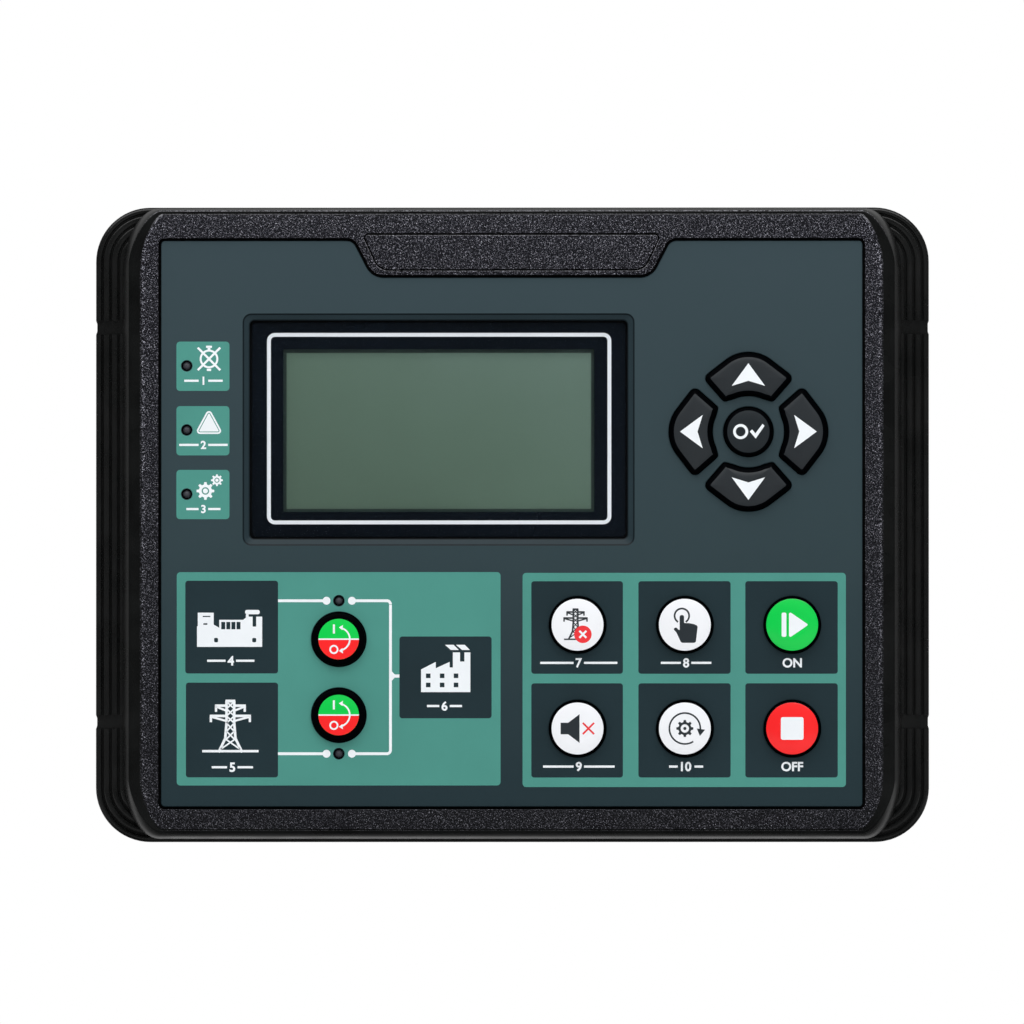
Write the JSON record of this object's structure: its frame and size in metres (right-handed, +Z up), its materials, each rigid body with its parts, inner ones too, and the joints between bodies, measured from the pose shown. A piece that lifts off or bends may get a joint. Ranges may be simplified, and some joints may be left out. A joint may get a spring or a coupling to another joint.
{
  "type": "genset controller",
  "caption": "Panel-mounted generating set controller: ribbed black bezel, dark face panel with framed display, arrow and round push keys, ventilated rear housing with plug-in terminals",
  "frame": {"origin": "centre of the panel cut-out, in the plane of the panel's front surface", "axes": "+X to the right as the front is seen, +Y into the panel (the front faces -Y), +Z up"},
  "size_m": [0.21, 0.0534, 0.16],
  "materials": {
    "black_plastic": "fine grained",
    "housing_plastic": "satin",
    "face_film": "satin",
    "lens_acrylic": "clear, edge printed black",
    "display_glass": "grey-green, reflective",
    "white_plastic": "satin",
    "key_white": "satin",
    "key_green": "satin",
    "key_red": "satin",
    "key_grey": "satin",
    "lamp_resin": "clear, tinted dark",
    "silicone": "matt",
    "foam_rubber": "closed-cell foam",
    "board_green": "solder resist",
    "terminal_green": "satin",
    "steel": "zinc plated",
    "can_aluminium": "drawn",
    "relay_plastic": "satin"
  },
  "bodies": {
    "housing": {"board_plug": "black_plastic", "board_socket": "black_plastic", "case_screw_1": "steel", "case_screw_2": "steel", "case_screw_3": "steel", "case_screw_4": "steel", "display_window": "lens_acrylic", "face_panel": "face_film", "front_bezel": "black_plastic", "front_board": "board_green", "front_board_screw_1": "steel", "front_board_screw_2": "steel", "front_board_screw_3": "steel", "front_board_screw_4": "steel", "generator_lamp": "lamp_resin", "keypad_mat": "silicone", "lcd_glass": "display_glass", "lcd_holder": "white_plastic", "lcd_light_guide": "white_plastic", "mains_lamp": "lamp_resin", "name_insert": "black_plastic", "panel_gasket": "foam_rubber", "rear_board": "board_green", "rear_board_screw_1": "steel", "rear_board_screw_2": "steel", "rear_board_screw_3": "steel", "rear_board_screw_4": "steel", "rear_housing": "housing_plastic", "relay_1": "relay_plastic", "relay_2": "relay_plastic", "relay_3": "relay_plastic", "status_lamp_1": "lamp_resin", "status_lamp_2": "lamp_resin", "status_lamp_3": "lamp_resin", "supply_capacitor": "can_aluminium", "terminal_header_1": "terminal_green", "terminal_header_2": "terminal_green", "terminal_header_3": "terminal_green", "terminal_header_4": "terminal_green", "terminal_plug_1": "terminal_green", "terminal_plug_2": "terminal_green", "terminal_plug_3": "terminal_green", "terminal_plug_4": "terminal_green"},
    "test_button": {"test_key": "key_white"},
    "manual_button": {"manual_key": "key_white"},
    "start_button": {"start_key": "key_green"},
    "mute_button": {"mute_key": "key_white"},
    "auto_button": {"auto_key": "key_white"},
    "stop_button": {"stop_key": "key_red"},
    "generator_switch_button": {"generator_switch_key": "key_green"},
    "mains_switch_button": {"mains_switch_key": "key_green"},
    "up_button": {"up_key": "key_grey"},
    "left_button": {"left_key": "key_grey"},
    "down_button": {"down_key": "key_grey"},
    "right_button": {"right_key": "key_grey"},
    "centre_button": {"centre_key": "key_grey"}
  },
  "joints": [
    {"name": "test_press", "type": "slide", "parent": "housing", "child": "test_button", "axis": [0, 1, 0], "range_m": [0, 0.0009], "stiffness_N_per_m": 1200, "springref_m": -0.0002},
    {"name": "manual_press", "type": "slide", "parent": "housing", "child": "manual_button", "axis": [0, 1, 0], "range_m": [0, 0.0009], "stiffness_N_per_m": 1200, "springref_m": -0.0002},
    {"name": "start_press", "type": "slide", "parent": "housing", "child": "start_button", "axis": [0, 1, 0], "range_m": [0, 0.0009], "stiffness_N_per_m": 1200, "springref_m": -0.0002},
    {"name": "mute_press", "type": "slide", "parent": "housing", "child": "mute_button", "axis": [0, 1, 0], "range_m": [0, 0.0009], "stiffness_N_per_m": 1200, "springref_m": -0.0002},
    {"name": "auto_press", "type": "slide", "parent": "housing", "child": "auto_button", "axis": [0, 1, 0], "range_m": [0, 0.0009], "stiffness_N_per_m": 1200, "springref_m": -0.0002},
    {"name": "stop_press", "type": "slide", "parent": "housing", "child": "stop_button", "axis": [0, 1, 0], "range_m": [0, 0.0009], "stiffness_N_per_m": 1200, "springref_m": -0.0002},
    {"name": "generator_switch_press", "type": "slide", "parent": "housing", "child": "generator_switch_button", "axis": [0, 1, 0], "range_m": [0, 0.0009], "stiffness_N_per_m": 1200, "springref_m": -0.0002},
    {"name": "mains_switch_press", "type": "slide", "parent": "housing", "child": "mains_switch_button", "axis": [0, 1, 0], "range_m": [0, 0.0009], "stiffness_N_per_m": 1200, "springref_m": -0.0002},
    {"name": "up_press", "type": "slide", "parent": "housing", "child": "up_button", "axis": [0, 1, 0], "range_m": [0, 0.0009], "stiffness_N_per_m": 1200, "springref_m": -0.0002},
    {"name": "left_press", "type": "slide", "parent": "housing", "child": "left_button", "axis": [0, 1, 0], "range_m": [0, 0.0009], "stiffness_N_per_m": 1200, "springref_m": -0.0002},
    {"name": "down_press", "type": "slide", "parent": "housing", "child": "down_button", "axis": [0, 1, 0], "range_m": [0, 0.0009], "stiffness_N_per_m": 1200, "springref_m": -0.0002},
    {"name": "right_press", "type": "slide", "parent": "housing", "child": "right_button", "axis": [0, 1, 0], "range_m": [0, 0.0009], "stiffness_N_per_m": 1200, "springref_m": -0.0002},
    {"name": "centre_press", "type": "slide", "parent": "housing", "child": "centre_button", "axis": [0, 1, 0], "range_m": [0, 0.0009], "stiffness_N_per_m": 1200, "springref_m": -0.0002}
  ]
}
